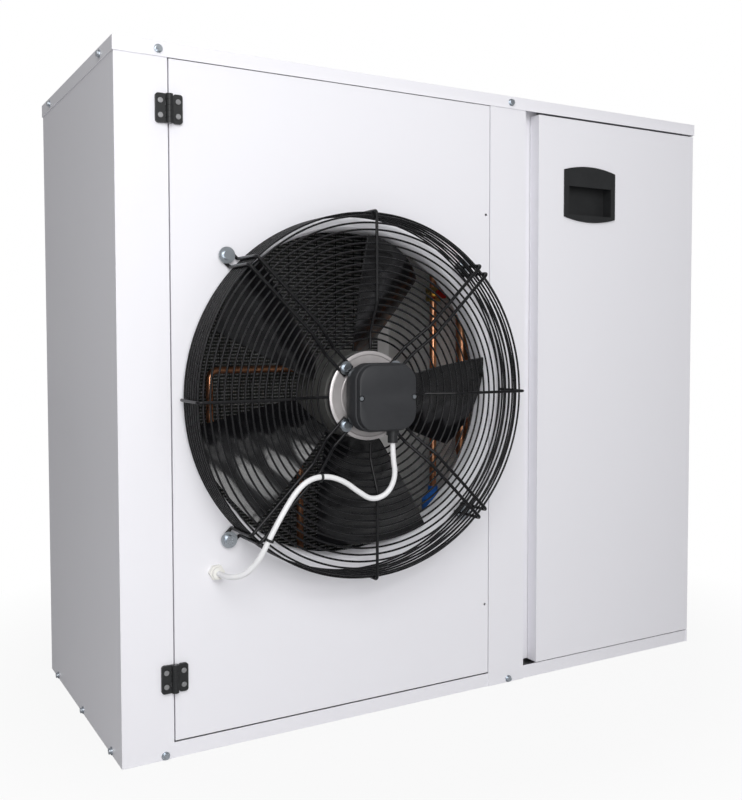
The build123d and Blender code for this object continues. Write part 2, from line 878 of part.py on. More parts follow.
def compressor_terminal_cover():
    y = compressor_y - compressor_r
    cover = block(compressor_x - 35, compressor_x + 35, y - 28, y + 20, 190, 290)
    return cover - compressor_shell()


def liquid_receiver():
    low = base_sheet + 20
    r = receiver_r
    profile = [(0, low), (r - 20, low), (r, low + 20), (r, receiver_top - 20), (r - 20, receiver_top), (0, receiver_top)]
    face = make_face(Polyline(*profile, close=True))
    return Pos(receiver_x, receiver_y, 0) * revolve(Plane.XZ * face, Axis.Z)


def receiver_stand():
    ring = rod_z(receiver_x, receiver_y, receiver_r - 20, base_sheet, base_sheet + 20)
    return ring - rod_z(receiver_x, receiver_y, receiver_r - 26, base_sheet - 1, base_sheet + 21)


def filter_drier():
    neck = liquid_r + 3
    profile = [(0, drier_low), (neck, drier_low), (neck, drier_low + 10), (drier_r, drier_low + 24)]
    profile += [(drier_r, drier_high - 24), (neck, drier_high - 10), (neck, drier_high), (0, drier_high)]
    face = make_face(Polyline(*profile, close=True))
    return Pos(drier_x, drier_y, 0) * revolve(Plane.XZ * face, Axis.Z)


def discharge_line():
    start = (compressor_x - 45, compressor_y, compressor_top - 30)
    points = [
        start,
        (start[0], start[1], discharge_z),
        (start[0], bulkhead_y, discharge_z),
        (-288.0, bulkhead_y, discharge_z),
        (-288.0, bulkhead_y, 432.0),
        (-109.0, bulkhead_y, 432.0),
        (-109.0, bulkhead_y, 170.0),
        (-109.0, coil_y, 170.0),
    ]
    return bent_rod(points, liquid_r, 16.0) - compressor_shell()


def coil_outlet_line():
    points = [(60.0, coil_y, 80.0), (60.0, bulkhead_y, 80.0), (receiver_x, bulkhead_y, 80.0)]
    return bent_rod(points, liquid_r, 16.0) - liquid_receiver()


def receiver_outlet_line():
    points = [
        (receiver_x, receiver_y, 110.0),
        (receiver_x, drier_y, 110.0),
        (drier_x, drier_y, 110.0),
        (drier_x, drier_y, drier_low),
    ]
    return bent_rod(points, liquid_r, 16.0) - liquid_receiver()


def liquid_line():
    rear_x, rear_z, _ = rear_ports[0]
    points = [
        (drier_x, drier_y, drier_high),
        (drier_x, drier_y, liquid_z),
        (rear_x, drier_y, liquid_z),
        (rear_x, 190.0, liquid_z),
        (rear_x, 190.0, rear_z + 30),
    ]
    return bent_rod(points, liquid_r, 16.0)


def suction_line():
    rear_x, rear_z, _ = rear_ports[1]
    points = [
        (rear_x, 190.0, rear_z + 40),
        (rear_x, 190.0, suction_z),
        (rear_x, suction_y, suction_z),
        (suction_x, suction_y, suction_z),
        (suction_x, suction_y, 380.0),
        (compressor_x, suction_y, 380.0),
        (compressor_x, compressor_y, 380.0),
    ]
    return bent_rod(points, suction_r, 18.0) - compressor_shell()


def service_valve(port, pipe_r, tall):
    """A brass corner valve: pipe socket on top, union through the rear panel, capped stem in front."""
    x, z, _ = port
    body = block(x - pipe_r - 5, x + pipe_r + 5, 190 - pipe_r - 5, 190 + pipe_r + 5, z - pipe_r - 6, z + tall)
    union = rod_y(x, z, pipe_r + shoulder, 190, back + shoulder_out)
    union += rod_y(x, z, pipe_r, back, back + shoulder_out + port_length)
    cap = rod_y(x, z, pipe_r + 2, 190 - pipe_r - 22, 190 - pipe_r - 5)
    return body + union + cap


def pipe_grommets():
    rings = []
    for y, z, r in partition_ports:
        x0 = partition_x - 3
        x1 = partition_x + sheet + 3
        ring = rod_x(y, z, r + hole_gap + 3, x0, x1) - rod_x(y, z, r, x0 - 1, x1 + 1)
        groove = rod_x(y, z, r + hole_gap + 4, partition_x, partition_x + sheet) - rod_x(
            y, z, r + hole_gap, partition_x - 1, partition_x + sheet + 1
        )
        rings.append(ring - groove)
    for x, z, r in rear_ports[:2]:
        y0 = back - sheet - 3
        y1 = back + 3
        ring = rod_y(x, z, r + 3, y0, y1) - rod_y(x, z, r - hole_gap, y0 - 1, y1 + 1)
        groove = rod_y(x, z, r + 4, back - sheet, back) - rod_y(x, z, r, back - 3, back + 3)
        rings.append(ring - groove)
    return rings


def supply_gland():
    x, z, r = rear_ports[2]
    nut = Pos(x, back + 8, z) * extrude(Plane.XZ * RegularPolygon(14, 6), 8)
    tail = rod_y(x, z, r, back - sheet - 10, back)
    dome = rod_y(x, z, 10, back + 8, back + 16)
    return nut + tail + dome - rod_y(x, z, 6, back - 20, back + 20)


fitting_z = 674.0


def access_tee():
    """Brass access fitting on the liquid line, with its charging port towards the fan."""
    body = Pos(drier_x, drier_y, fitting_z) * Box(20, 20, 26)
    body -= rod_z(drier_x, drier_y, liquid_r, fitting_z - 20, fitting_z + 20)
    port = rod_y(drier_x, fitting_z, 5, drier_y - 22, drier_y - 10)
    return body + port


def access_cap():
    return rod_y(drier_x, fitting_z, 8.5, drier_y - 36, drier_y - 22)


# ---------------------------------------------------------------- electrics
panel_x0 = partition_x + sheet
panel_x1 = 430.0
panel_y0 = -195.0
panel_y1 = -60.0
panel_z0 = 765.0
panel_z1 = 950.0


def control_box():
    outer = block(panel_x0, panel_x1, panel_y0, panel_y1, panel_z0, panel_z1)
    inner = block(
        panel_x0 + 2, panel_x1 - 2, panel_y0 - 1, panel_y1 - 2, panel_z0 + 2, panel_z1 - 2
    )
    return outer - inner


def control_lid():
    lid = block(panel_x0, panel_x1, panel_y0 - 2, panel_y0, panel_z0, panel_z1)
    for x in (panel_x0 + 12, panel_x1 - 12):
        for z in (panel_z0 + 12, panel_z1 - 12):
            lid -= rod_y(x, z, drill_r, panel_y0 - 5, panel_y0 + 1)
    return lid


def control_lid_screws():
    solids = []
    for x in (panel_x0 + 12, panel_x1 - 12):
        for z in (panel_z0 + 12, panel_z1 - 12):
            solids.append(screw(x, panel_y0 - 2, z, "front", 5.0, 3.0, 2.0))
    return solids


def contactor():
    return block(panel_x0 + 40, panel_x0 + 95, panel_y1 - 72, panel_y1 - 2, panel_z0 + 50, panel_z0 + 130)


def terminal_strip():
    base = block(panel_x0 + 120, panel_x0 + 270, panel_y1 - 22, panel_y1 - 2, panel_z0 + 40, panel_z0 + 58)
    for n in range(9):
        x = panel_x0 + 132 + n * 15
        base += block(x - 6, x + 6, panel_y1 - 40, panel_y1 - 22, panel_z0 + 42, panel_z0 + 56)
    return base


# ---------------------------------------------------------------- write every node
save("base_pan", base_pan())
save("left_panel", left_panel())
save("right_panel", right_panel())
save("centre_post", centre_post())
save("top_cover", top_cover())
save("top_rail", top_rail())
save("rear_panel", rear_panel())
save("partition", partition())
save("cabinet_screws", *[screw(*place) for place in cabinet_screws])

save("coil_fins", coil_fins())
save("tube_sheets", *tube_sheets())
save("return_bends", *return_bends(coil_left - sheet, -1), *return_bends(coil_right + sheet, 1))
save("rear_guard", rear_guard())

save("compressor", compressor_shell() + compressor_base())
save("rubber_mounts", *rubber_mounts())
save("mount_bolts", *mount_bolts())
save("compressor_terminal_cover", compressor_terminal_cover())
save("liquid_receiver", liquid_receiver() + receiver_stand())
save("filter_drier", filter_drier())
save("discharge_line", discharge_line())
save("coil_outlet_line", coil_outlet_line())
save("receiver_outlet_line", receiver_outlet_line())
save("liquid_line", liquid_line())
save("suction_line", suction_line())
save("liquid_service_valve", service_valve(rear_ports[0], liquid_r, 30.0))
save("suction_service_valve", service_valve(rear_ports[1], suction_r, 40.0))
save("pipe_grommets", *pipe_grommets())
save("supply_gland", supply_gland())
save("access_tee", access_tee())
save("access_cap", access_cap())
save("control_box", control_box())
save("control_lid", control_lid())
save("control_lid_screws", *control_lid_screws())
save("contactor", contactor())
save("terminal_strip", terminal_strip())

save("fan_door_panel", fan_door_panel())
save("fan_nozzle", fan_nozzle())
save("fan_guard", fan_guard())
save("foot_screws", *foot_screws())
save("foot_washers", *foot_washers())
save("motor_stator", motor_stator())
save("motor_bolts", *motor_bolts())
save("terminal_box_base", terminal_box_base())
save("terminal_box_lid", terminal_box_lid())
save("lid_screws", *lid_screws())
save("box_gland", box_gland())
save("door_gland", door_gland())
save("motor_cable", motor_cable())
save("cable_ties", *cable_ties())

save("fan_rotor", fan_rotor())
save("fan_blades", *fan_blades())

save("service_door_panel", service_door_panel())
save("door_grip", door_grip())

every_hinge = fan_hinges + service_hinges
save("hinge_frame_leaves", *[p * hinge_leaf(-1) for p in every_hinge])
save("hinge_frame_screws", *[p * s for p in every_hinge for s in hinge_screws(-1)])
save("hinge_pins", *[p * hinge_pin() for p in every_hinge])
save("fan_hinge_door_leaves", *[p * hinge_leaf(1) for p in fan_hinges])
save("fan_hinge_door_screws", *[p * s for p in fan_hinges for s in hinge_screws(1)])
save("service_hinge_door_leaves", *[p * hinge_leaf(1) for p in service_hinges])
save("service_hinge_door_screws", *[p * s for p in service_hinges for s in hinge_screws(1)])
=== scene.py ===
import json
import math

import bmesh
import bpy
from mathutils import Matrix, Vector


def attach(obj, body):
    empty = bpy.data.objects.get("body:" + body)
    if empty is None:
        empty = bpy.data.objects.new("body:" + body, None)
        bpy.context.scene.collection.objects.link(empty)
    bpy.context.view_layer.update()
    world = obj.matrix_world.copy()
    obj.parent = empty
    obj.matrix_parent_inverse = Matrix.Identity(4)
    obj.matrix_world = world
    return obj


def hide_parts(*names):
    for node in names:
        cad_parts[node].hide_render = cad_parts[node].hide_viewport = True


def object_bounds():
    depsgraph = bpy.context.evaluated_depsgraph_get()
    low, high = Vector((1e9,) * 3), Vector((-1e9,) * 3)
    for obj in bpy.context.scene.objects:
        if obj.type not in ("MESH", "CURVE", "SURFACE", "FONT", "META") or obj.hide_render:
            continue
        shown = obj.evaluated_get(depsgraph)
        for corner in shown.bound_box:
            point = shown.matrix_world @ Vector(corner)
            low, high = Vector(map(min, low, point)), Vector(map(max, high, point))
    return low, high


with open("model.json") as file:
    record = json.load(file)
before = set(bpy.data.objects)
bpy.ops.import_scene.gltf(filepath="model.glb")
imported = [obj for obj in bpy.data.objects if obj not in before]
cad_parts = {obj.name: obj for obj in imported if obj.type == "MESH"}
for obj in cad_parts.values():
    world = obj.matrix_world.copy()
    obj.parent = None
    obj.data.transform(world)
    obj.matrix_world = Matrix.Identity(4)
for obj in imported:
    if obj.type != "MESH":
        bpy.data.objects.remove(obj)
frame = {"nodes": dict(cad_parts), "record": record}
cad_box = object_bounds()
nodes = frame["nodes"]

# Sizes in metres. Depths count from the door's face, and the front is at smaller Y.
FAN = Vector((-0.1885, -0.2385, 0.5085))  # the fan's axis at the door's face
FLANGE_Y = -0.054  # front of the motor's flange
MOUTH_R = 0.259  # opening in the door

# Guard: radii of its wires first, then where they run
WIRE = 0.0015
ARM = 0.0025
SPOKE = 0.00225
WELD = 0.0006  # how far welded wires sink into each other
RING_R = 0.2705
RING_PITCH = 0.010
FRONT_RING_R = 0.2655
FRONT_RINGS = 19
WALL_START_Y = -0.012
WALL_PITCH = 0.0093
WALL_RINGS = 7
FRONT_Y = -0.074
DIP_R = 0.140  # inside this radius the front slopes back to the motor
SEAT_R = 0.095  # and inside this one it is flat again
ARM_GAP = 0.0085  # half the distance between an arm's two wires
ARM_INNER_R = 0.052
ARM_FOOT_R = 0.2975
SPOKE_INNER_R = 0.071
SPOKE_END_Y = -0.009
BEND = 0.007

CABLE_R = 0.004
SHARP = 30.0  # degrees; flatter edges are shaded smooth


# ---------------------------------------------------------------- materials
class Nodes:
    """A material's node tree, with helpers that add to it."""

    def __init__(self, name):
        self.mat = bpy.data.materials.new(name)
        self.mat.use_nodes = True
        self.tree = self.mat.node_tree
        self.bsdf = self.tree.nodes["Principled BSDF"]
        self.coords = self.add("ShaderNodeTexCoord").outputs["Object"]
        self.height = None

    def add(self, kind, **values):
        node = self.tree.nodes.new(kind)
        for key, value in values.items():
            setattr(node, key, value)
        return node

    def link(self, a, b):
        self.tree.links.new(a, b)

    def set(self, **values):
        for key, value in values.items():
            self.bsdf.inputs[key.replace("_", " ")].default_value = value

    def noise(self, scale, detail=3.0, rough=0.5, stretch=(1, 1, 1)):
        mapping = self.add("ShaderNodeMapping")
        mapping.inputs["Scale"].default_value = stretch
        self.link(self.coords, mapping.inputs["Vector"])
        tex = self.add("ShaderNodeTexNoise")
        tex.inputs["Scale"].default_value = scale
        tex.inputs["Detail"].default_value = detail
        tex.inputs["Roughness"].default_value = rough
        self.link(mapping.outputs["Vector"], tex.inputs["Vector"])
        return tex.outputs["Fac"]

    def wave(self, axis, scale):
        tex = self.add("ShaderNodeTexWave", bands_direction=axis)
        tex.inputs["Scale"].default_value = scale
        self.link(self.coords, tex.inputs["Vector"])
        return tex.outputs["Fac"]

    def ripples(self, scale, distortion):
        """Rings about the fan's axis."""
        mapping = self.add("ShaderNodeMapping")
        mapping.inputs["Location"].default_value = tuple(-FAN)
        tex = self.add("ShaderNodeTexWave", wave_type="RINGS", rings_direction="Y")
        tex.inputs["Scale"].default_value = scale
        tex.inputs["Distortion"].default_value = distortion
        self.link(self.coords, mapping.inputs["Vector"])
        self.link(mapping.outputs["Vector"], tex.inputs["Vector"])
        return tex.outputs["Fac"]

    def ramp(self, fac, stops):
        node = self.add("ShaderNodeValToRGB")
        ramp = node.color_ramp
        while len(ramp.elements) < len(stops):
            ramp.elements.new(0.5)
        for element, (at, colour) in zip(ramp.elements, stops):
            element.position = at
            element.color = (*colour, 1)
        self.link(fac, node.inputs["Fac"])
        return node.outputs["Color"]

    def spread(self, fac, low, high):
        node = self.add("ShaderNodeMapRange")
        node.inputs["From Min"].default_value = 0.3
        node.inputs["From Max"].default_value = 0.7
        node.inputs["To Min"].default_value = low
        node.inputs["To Max"].default_value = high
        self.link(fac, node.inputs["Value"])
        return node.outputs["Result"]

    def bump(self, fac, strength, distance):
        node = self.add("ShaderNodeBump")
        node.inputs["Strength"].default_value = strength
        node.inputs["Distance"].default_value = distance
        self.link(fac, node.inputs["Height"])
        if self.height is not None:
            self.link(self.height, node.inputs["Normal"])
        self.height = node.outputs["Normal"]
        self.link(self.height, self.bsdf.inputs["Normal"])


def finish(
    name,
    colour,
    rough,
    metal=0.0,
    coat=0.0,
    spec=0.5,
    vary=0.06,
    scale=12.0,
    grain=400.0,
    grain_height=0.0,
):
    """A painted, plated or moulded surface: mottled colour, uneven gloss and a fine grain."""
    m = Nodes(name)
    darker = tuple(c * (1 - vary) for c in colour)
    lighter = tuple(min(1.0, c * (1 + vary)) for c in colour)
    soft = m.noise(scale, 4.0, 0.55)
    m.link(m.ramp(soft, [(0.3, darker), (0.7, lighter)]), m.bsdf.inputs["Base Color"])
    m.link(m.spread(m.noise(scale * 2.3, 3.0, 0.6), rough * 0.85, rough * 1.15), m.bsdf.inputs["Roughness"])
    m.set(Metallic=metal, Coat_Weight=coat, Coat_Roughness=0.12, Specular_IOR_Level=spec)
    if grain_height:
        m.bump(m.noise(grain, 2.0, 0.5), 0.5, grain_height)
    return m


def paint(name, colour):
    """White powder coat: faint orange peel, a soft sheen and the slow waviness of thin sheet."""
    m = finish(name, colour, 0.42, vary=0.004, scale=2.0, grain=900.0, grain_height=0.00001, spec=0.4)
    m.bump(m.noise(1.6, 0.0, 0.3, (1.0, 1.0, 0.35)), 0.12, 0.0012)
    return m


def coil_material():
    """Fin stock: close vertical fins crossed by thin brighter lines in the fins' own pale metal; the
    near-black between them is painted shade, the shade deep between the fins.
    """
    m = Nodes("coil_fins_painted_shade")
    fins = m.spread(m.wave("X", 100.0), 0.35, 1.0)
    rows = m.ramp(m.wave("Z", 50.0), [(0.55, (0.10, 0.10, 0.10)), (0.95, (1.0, 1.0, 1.0))])
    both = m.add("ShaderNodeMath", operation="MULTIPLY")
    m.link(fins, both.inputs[0])
    m.link(rows, both.inputs[1])
    # Painted shade: this near-black stands for the shade deep between the fins
    fin_gap_shade = (0.035, 0.037, 0.036)
    m.link(m.ramp(both.outputs[0], [(0.1, fin_gap_shade), (0.9, (0.62, 0.63, 0.62))]), m.bsdf.inputs["Base Color"])
    m.link(m.spread(m.noise(30.0), 0.5, 0.65), m.bsdf.inputs["Roughness"])
    m.set(Metallic=0.2, Specular_IOR_Level=0.3)
    m.bump(both.outputs[0], 0.4, 0.001)
    return m


def brushed(name, colour, rough, rings=False):
    """Machined or plated metal with fine turning lines."""
    m = finish(name, colour, rough, metal=1.0, vary=0.10, scale=25.0)
    if rings:
        m.bump(m.ripples(220.0, 0.4), 0.25, 0.0001)
    else:
        m.bump(m.noise(900.0, 2.0, 0.6), 0.3, 0.00003)
    return m


def glossy_blade():
    """Glossy black blade enamel; slow ripples round the hub draw the lights out into arcs."""
    m = finish("glossy_blade", (0.007, 0.007, 0.008), 0.16, spec=0.6, vary=0.15, scale=20.0)
    m.bump(m.ripples(7.5, 0.3), 0.4, 0.004)
    return m


white = paint("powder_white", (0.852, 0.846, 0.886))
rotor_grey = finish(
    "rotor_enamel", (0.12, 0.12, 0.115), 0.4, vary=0.1, grain=500.0, grain_height=0.00004
)
wire_black = finish(
    "wire_black",
    (0.007, 0.007, 0.008),
    0.3,
    spec=0.25,
    vary=0.15,
    scale=60.0,
    grain=700.0,
    grain_height=0.00003,
)
plastic = finish(
    "black_moulding",
    (0.018, 0.019, 0.020),
    0.48,
    spec=0.35,
    vary=0.12,
    scale=40.0,
    grain=1400.0,
    grain_height=0.00005,
)
box_plastic = finish(
    "charcoal_moulding",
    (0.030, 0.031, 0.034),
    0.5,
    spec=0.35,
    vary=0.08,
    scale=30.0,
    grain=1500.0,
    grain_height=0.00005,
)
cable_white = finish(
    "cable_sheath", (0.80, 0.80, 0.81), 0.42, vary=0.04, scale=50.0, grain=500.0, grain_height=0.00004
)
# Painted reflection: the flange is only half metal, so its colour shows as diffuse paint in place of the
# bright room that turned aluminium would mirror
flange_painted_reflection = brushed("turned_flange_painted_reflection", (0.50, 0.475, 0.475), 0.36, rings=True)
flange_painted_reflection.set(Metallic=0.45)

materials = {
    "white_paint": white,
    "grey_paint": finish(
        "powder_grey", (0.86, 0.85, 0.84), 0.4, vary=0.03, grain=700.0, grain_height=0.00002
    ),
    "zinc_sheet": finish(
        "galvanised_sheet", (0.55, 0.56, 0.57), 0.4, metal=0.9, vary=0.12, scale=60.0
    ),
    "black_paint": finish(
        "dark_paint", (0.012, 0.012, 0.013), 0.35, spec=0.3, vary=0.12, grain=500.0, grain_height=0.00004
    ),
    "zinc_steel": brushed("zinc_plate", (0.50, 0.54, 0.58), 0.3),
    "bare_steel": brushed("bare_steel", (0.42, 0.42, 0.43), 0.32),
    "cast_aluminium": brushed("turned_aluminium", (0.56, 0.56, 0.58), 0.34, rings=True),
    "fin_aluminium": coil_material(),
    "copper": finish("drawn_copper", (0.86, 0.40, 0.22), 0.3, metal=1.0, vary=0.2, scale=18.0),
    "brass_fitting": brushed("turned_brass", (0.90, 0.64, 0.26), 0.28),
    "black_plastic": plastic,
    "blade_black": glossy_blade(),
    "cream_plastic": finish(
        "cream_moulding", (0.84, 0.83, 0.79), 0.45, vary=0.05, grain=900.0, grain_height=0.00004
    ),
    "white_cable": cable_white,
    "red_plastic": finish(
        "red_cap", (0.75, 0.03, 0.02), 0.4, vary=0.08, grain=700.0, grain_height=0.00004
    ),
    "blue_paint": finish(
        "blue_enamel", (0.03, 0.17, 0.62), 0.3, coat=0.2, vary=0.1, grain=400.0, grain_height=0.00004
    ),
    "dark_rubber": finish(
        "dark_rubber", (0.018, 0.018, 0.018), 0.75, vary=0.15, grain=900.0, grain_height=0.00006
    ),
}
slots = {s["node"]: s["material_slot"] for s in frame["record"]["subparts"]}
for name, obj in nodes.items():
    chosen = rotor_grey if name == "fan_rotor" else materials[slots[name]]
    obj.data.materials.clear()
    obj.data.materials.append(chosen.mat)


# ---------------------------------------------------------------- mesh helpers
def put(name, data, slot, material, *stands_for):
    """Adds a piece to the fan door and hides the CAD nodes that it stands for."""
    obj = bpy.data.objects.new(name, data)
    bpy.context.scene.collection.objects.link(obj)
    obj.data.materials.append(material.mat)
    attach(obj, "fan_door")
    if stands_for:
        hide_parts(*stands_for)
    return obj


def soften(obj, width, angle):
    """Rounds a piece's sharp edges a little, so that they catch the light."""
    bevel = obj.modifiers.new("edges", "BEVEL")
    bevel.width = width
    bevel.segments = 2
    bevel.limit_method = "ANGLE"
    bevel.angle_limit = math.radians(angle)
    bevel.harden_normals = False
    bevel.use_clamp_overlap = True


def shade(obj):
    obj.data.shade_smooth()
    obj.data.set_sharp_from_angle(angle=math.radians(SHARP))


def rounded(points, radii, steps=8):
    """A wire's path with each inner corner bent to its radius."""
    path = [points[0]]
    for a, b, c, r in zip(points, points[1:], points[2:], radii):
        u = (a - b).normalized()
        v = (c - b).normalized()
        half = u.angle(v) / 2
        cut = min(r / math.tan(half), 0.49 * (a - b).length, 0.49 * (c - b).length)
        r = cut * math.tan(half)
        middle = b + (u + v).normalized() * (r / math.sin(half))
        start = b + u * cut - middle
        end = b + v * cut - middle
        sweep = start.angle(end)
        for n in range(steps + 1):
            t = n / steps
            blend = start * math.sin((1 - t) * sweep) + end * math.sin(t * sweep)
            path.append(middle + blend / math.sin(sweep))
    path.append(points[-1])
    return path


def wires(name, paths, r, closed, *stands_for):
    """Black wires of one thickness along the given paths."""
    curve = bpy.data.curves.new(name, "CURVE")
    curve.dimensions = "3D"
    curve.bevel_depth = r
    curve.bevel_resolution = 3
    curve.use_fill_caps = True
    for path in paths:
        spline = curve.splines.new("POLY")
        spline.points.add(len(path) - 1)
        for point, place in zip(spline.points, path):
            point.co = (*place, 1)
        spline.use_cyclic_u = closed
        spline.use_smooth = True
    put(name, curve, "black_paint", wire_black, *stands_for)


def turned(name, profile, slot, material, *stands_for, segments=128):
    """A piece turned about the fan's axis from (radius, depth) points."""
    mesh = bpy.data.meshes.new(name)
    bm = bmesh.new()
    rings = []
    for n in range(segments):
        a = 2 * math.pi * n / segments
        ring = [FAN + Vector((r * math.cos(a), y, r * math.sin(a))) for r, y in profile]
        rings.append([bm.verts.new(place) for place in ring])
    for n in range(segments):
        one = rings[n]
        two = rings[(n + 1) % segments]
        for i in range(len(profile)):
            j = (i + 1) % len(profile)
            bm.faces.new((one[i], two[i], two[j], one[j]))
    bmesh.ops.recalc_face_normals(bm, faces=bm.faces)
    bm.to_mesh(mesh)
    bm.free()
    shade(put(name, mesh, slot, material, *stands_for))


# ---------------------------------------------------------------- fan guard
def at(angle, u, v, y):
    """A point u out along a direction from the fan's axis, v to its side and y deep."""
    a = math.radians(angle)
    return FAN + Vector((u * math.cos(a) - v * math.sin(a), y, u * math.sin(a) + v * math.cos(a)))


DIP = FLANGE_Y - WELD + WIRE - FRONT_Y


def dipped(radius):
    """How far back of the guard's front a ring of this radius lies."""
    return DIP * min(max((DIP_R - radius) / (DIP_R - SEAT_R), 0), 1)


def circle(radius, y, count=160):
    return [at(360 * n / count, radius, 0, y) for n in range(count)]


rings = [circle(RING_R, WALL_START_Y - n * WALL_PITCH) for n in range(WALL_RINGS)]
for n in range(FRONT_RINGS):
    radius = FRONT_RING_R - n * RING_PITCH
    rings.append(circle(radius, FRONT_Y + dipped(radius)))
wires("guard_rings", rings, WIRE, True, "fan_guard")

over = FRONT_Y - WIRE - ARM + WELD
wall = RING_R + WIRE + ARM - WELD
arms = []
for angle in (45, 135, 225, 315):
    leg = [
        (ARM_INNER_R, over + DIP),
        (SEAT_R, over + DIP),
        (DIP_R, over),
        (wall, over),
        (wall, -ARM),
    ]
    out = [at(angle, u, ARM_GAP, y) for u, y in leg]
    home = [at(angle, u, -ARM_GAP, y) for u, y in leg]
    tip = [at(angle, ARM_FOOT_R, ARM_GAP, -ARM), at(angle, ARM_FOOT_R, -ARM_GAP, -ARM)]
    bends = [BEND] * 3 + [0.004] + [0.0083] * 2 + [0.004] + [BEND] * 3
    arms.append(rounded(out + tip + home[::-1], bends))
wires("guard_arms", arms, ARM, False)

over = FRONT_Y - WIRE - SPOKE + WELD
wall = RING_R + WIRE + SPOKE - WELD
spokes = []
for angle in (0, 90, 180, 270):
    leg = [
        (SPOKE_INNER_R, over + DIP),
        (SEAT_R, over + DIP),
        (DIP_R, over),
        (wall, over),
        (wall, SPOKE_END_Y),
    ]
    spokes.append(rounded([at(angle, u, 0, y) for u, y in leg], [BEND, BEND, 0.006]))
wires("guard_spokes", spokes, SPOKE, False)


# ---------------------------------------------------------------- motor cable
def fan_mm(x, y, z):
    """A point from the fan's axis at the door's face, in millimetres."""
    return FAN + Vector((x, y, z)) / 1000


cable_route = [
    fan_mm(18.0, -92.0, -68.0),
    fan_mm(18.0, -92.0, -88.0),
    fan_mm(24.0, -91.0, -118.0),
    fan_mm(12.0, -89.0, -144.0),
    fan_mm(-14.0, -87.0, -152.0),
    fan_mm(-37.0, -85.5, -137.0),
    fan_mm(-58.0, -85.0, -121.0),
    fan_mm(-84.0, -84.5, -111.0),
    fan_mm(-112.0, -84.5, -112.5),
    fan_mm(-134.0, -84.5, -128.0),
    fan_mm(-155.0, -84.5, -158.0),
    fan_mm(-174.0, -84.0, -190.0),
    fan_mm(-187.0, -77.0, -222.0),
    fan_mm(-204.0, -63.0, -245.0),
    fan_mm(-223.5, -43.0, -249.5),
    fan_mm(-223.5, -14.0, -249.5),
]
curve = bpy.data.curves.new("fan_motor_lead", "CURVE")
curve.dimensions = "3D"
curve.bevel_depth = CABLE_R
curve.bevel_resolution = 6
curve.resolution_u = 12
curve.use_fill_caps = True
spline = curve.splines.new("NURBS")
spline.points.add(len(cable_route) - 1)
for point, place in zip(spline.points, cable_route):
    point.co = (*place, 1)
spline.order_u = 3
spline.use_endpoint_u = True
lead = put("fan_motor_lead", curve, "white_cable", cable_white, "motor_cable")


# ---------------------------------------------------------------- cable ties
TIE_HALF_WIDTH = 0.0018
TIE_SHEET = 0.0011
TIE_STEPS = 32
TIE_PLACES = ((-95.0, -111.0), (-174.0, -194.0))  # across and up from the fan's axis, in mm


def tie(place, along, reach):
    """A flat band round the cable and the arm wire behind it, with its head at the side."""
    back = Vector((0, 1, 0))
    back = (back - along * back.dot(along)).normalized()
    across = along.cross(back).normalized()
    loops = []
    for shell in (0.0, TIE_SHEET):
        loop = []
        for n in range(TIE_STEPS):
            a = 2 * math.pi * n / TIE_STEPS
            r = (0.0041 if math.cos(a) < 0 else 0.0028) + shell
            shift = 0.0 if math.cos(a) < 0 else reach
            loop.append(place + back * (r * math.cos(a) + shift) + across * (r * math.sin(a)))
        loops.append(loop)
    inner, outer = loops
    near, far = -TIE_HALF_WIDTH, TIE_HALF_WIDTH
    made = bmesh.new()
    rings = []
    for loop, way in ((inner, near), (outer, near), (outer, far), (inner, far)):
        rings.append([made.verts.new(p + along * way) for p in loop])
    for i in range(4):
        one = rings[i]
        two = rings[(i + 1) % 4]
        for n in range(TIE_STEPS):
            m = (n + 1) % TIE_STEPS
            made.faces.new((one[n], one[m], two[m], two[n]))
    head = place + across * 0.0062 + back * (reach / 2)
    for v in bmesh.ops.create_cube(made, size=1.0)["verts"]:
        x, y, z = v.co
        v.co = head + across * (x * 0.0036) + back * (y * 0.0050) + along * (z * 0.0046)
    bmesh.ops.recalc_face_normals(made, faces=made.faces)
    return made


def evaluated_mesh(obj):
    bpy.context.view_layer.update()
    return bpy.data.meshes.new_from_object(obj.evaluated_get(bpy.context.evaluated_depsgraph_get()))


# The ties follow the line that the cable's spline gives without its thickness
curve.bevel_depth = 0.0
middle = evaluated_mesh(lead)
line = [lead.matrix_world @ v.co for v in middle.vertices]
bpy.data.meshes.remove(middle)
curve.bevel_depth = CABLE_R
arm_y = FAN.y + FRONT_Y - WIRE - ARM + WELD
tie_mesh = bpy.data.meshes.new("cable_tie_bands")
whole = bmesh.new()
for x, z in TIE_PLACES:
    target = fan_mm(x, 0.0, z)
    away = [(point.x - target.x) ** 2 + (point.z - target.z) ** 2 for point in line[1:-1]]
    near = 1 + away.index(min(away))
    along = (line[near + 1] - line[near - 1]).normalized()
    band = tie(line[near], along, max(arm_y - line[near].y, CABLE_R))
    part = bpy.data.meshes.new("band")
    band.to_mesh(part)
    band.free()
    whole.from_mesh(part)
    bpy.data.meshes.remove(part)
whole.to_mesh(tie_mesh)
whole.free()
shade(put("cable_tie_bands", tie_mesh, "black_plastic", plastic, "cable_ties"))


# ---------------------------------------------------------------- terminal box
def rounded_square(half, corner, steps=10):
    """The outline of a rounded square, in millimetres."""
    points = []
    for n, (sx, sz) in enumerate(((1, 1), (-1, 1), (-1, -1), (1, -1))):
        for i in range(steps + 1):
            a = math.radians(90 * n + 90 * i / steps)
            x = sx * (half - corner) + corner * math.cos(a)
            z = sz * (half - corner) + corner * math.sin(a)
            points.append((x, z))
    return points


